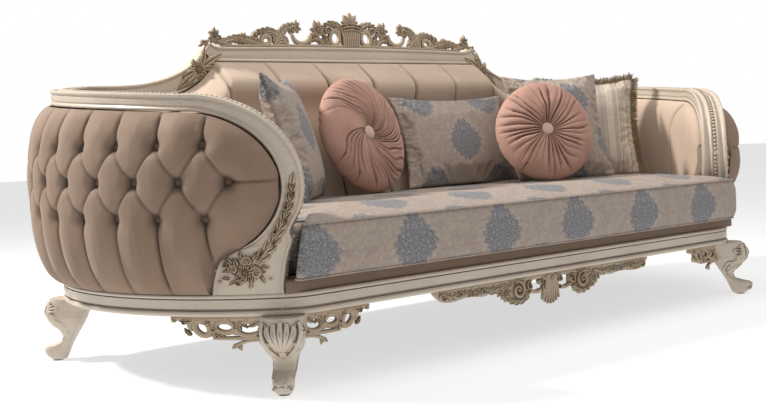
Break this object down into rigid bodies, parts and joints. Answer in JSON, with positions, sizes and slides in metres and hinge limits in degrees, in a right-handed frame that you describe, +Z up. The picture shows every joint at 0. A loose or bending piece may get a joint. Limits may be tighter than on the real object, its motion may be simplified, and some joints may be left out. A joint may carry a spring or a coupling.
{
  "type": "three-seater sofa",
  "caption": "Long carved sofa with bowed, tufted arms, a crested back, cabriole legs, a loose damask seat cushion and loose pillows.",
  "frame": {"origin": "middle of the sofa's box in plan, on the floor", "axes": "+X to the right seen from the front, along the sofa; +Y to the back; +Z up"},
  "size_m": [2.687, 1.0856, 1.1145],
  "materials": {
    "painted_wood": "antique ivory paint with brown glaze in the recesses",
    "frame_wood": "bare beech",
    "steel": "zinc plated",
    "glide": "matt brown nylon",
    "webbing": "jute",
    "lining_cloth": "black non-woven cloth",
    "deck_cloth": "brown cloth",
    "damask_cloth": "woven damask, beige ground with blue-grey ornaments",
    "taupe_velvet": "taupe velvet",
    "blush_velvet": "blush beige velvet",
    "pink_velvet": "dusty pink velvet",
    "striped_cloth": "cream and taupe woven stripes",
    "fringe_yarn": "brown looped yarn"
  },
  "bodies": {
    "frame": {"front_rail": "painted_wood", "end_rail_left": "painted_wood", "end_rail_right": "painted_wood", "back_rail": "painted_wood", "cross_rails": "frame_wood", "corner_blocks": "frame_wood", "leg_front_left": "painted_wood", "leg_front_right": "painted_wood", "leg_rear_left": "painted_wood", "leg_rear_right": "painted_wood", "foot_glides": "glide", "leg_bolts": "steel", "bracket_left": "painted_wood", "bracket_right": "painted_wood", "apron_carving": "painted_wood", "seat_webbing_long": "webbing", "seat_webbing_cross": "webbing", "dust_cover": "lining_cloth", "seat_deck": "deck_cloth", "arm_post_left": "painted_wood", "arm_post_right": "painted_wood", "arm_rail_left": "painted_wood", "arm_rail_right": "painted_wood", "arm_uprights_left": "frame_wood", "arm_uprights_right": "frame_wood", "arm_hessian_left": "webbing", "arm_hessian_right": "webbing", "arm_outer_pad_left": "taupe_velvet", "arm_outer_pad_right": "taupe_velvet", "arm_inner_pad_left": "blush_velvet", "arm_inner_pad_right": "blush_velvet", "tufting_buttons_left": "taupe_velvet", "tufting_buttons_right": "taupe_velvet", "post_carving_left": "painted_wood", "post_carving_right": "painted_wood", "back_top_rail": "painted_wood", "back_shoulder_left": "painted_wood", "back_shoulder_right": "painted_wood", "shoulder_carving_left": "painted_wood", "shoulder_carving_right": "painted_wood", "crest_carving": "painted_wood", "back_stiles": "frame_wood", "back_tacking_rail": "frame_wood", "back_webbing": "webbing", "back_pad": "blush_velvet", "back_outer_cover": "taupe_velvet"},
    "cushion": {"seat_cushion": "damask_cloth"},
    "damask_pillow_left_body": {"damask_pillow_left": "damask_cloth"},
    "round_pillow_left_body": {"round_pillow_left": "pink_velvet", "round_button_left": "pink_velvet"},
    "lumbar_pillow_body": {"lumbar_pillow": "damask_cloth"},
    "round_pillow_right_body": {"round_pillow_right": "pink_velvet", "round_button_right": "pink_velvet"},
    "damask_pillow_right_body": {"damask_pillow_right": "damask_cloth"},
    "striped_pillow_body": {"striped_pillow": "striped_cloth", "pillow_fringe": "fringe_yarn"}
  },
  "joints": [
    {"name": "cushion_lift", "type": "slide", "parent": "frame", "child": "cushion", "axis": [0, 0, 1], "range_m": [0, 0.12]},
    {"name": "damask_pillow_left_lift", "type": "slide", "parent": "cushion", "child": "damask_pillow_left_body", "axis": [-0.1949, 0.1949, 0.9613], "range_m": [0, 0.12]},
    {"name": "round_pillow_left_lift", "type": "slide", "parent": "cushion", "child": "round_pillow_left_body", "axis": [-0.062, 0.2686, 0.9613], "range_m": [0, 0.12]},
    {"name": "lumbar_pillow_lift", "type": "slide", "parent": "cushion", "child": "lumbar_pillow_body", "axis": [0, 0.2756, 0.9613], "range_m": [0, 0.12]},
    {"name": "round_pillow_right_lift", "type": "slide", "parent": "cushion", "child": "round_pillow_right_body", "axis": [0.1165, 0.2498, 0.9613], "range_m": [0, 0.12]},
    {"name": "damask_pillow_right_lift", "type": "slide", "parent": "cushion", "child": "damask_pillow_right_body", "axis": [0.0852, 0.2621, 0.9613], "range_m": [0, 0.12]},
    {"name": "striped_pillow_lift", "type": "slide", "parent": "cushion", "child": "striped_pillow_body", "axis": [0.1844, 0.2048, 0.9613], "range_m": [0, 0.12]}
  ]
}
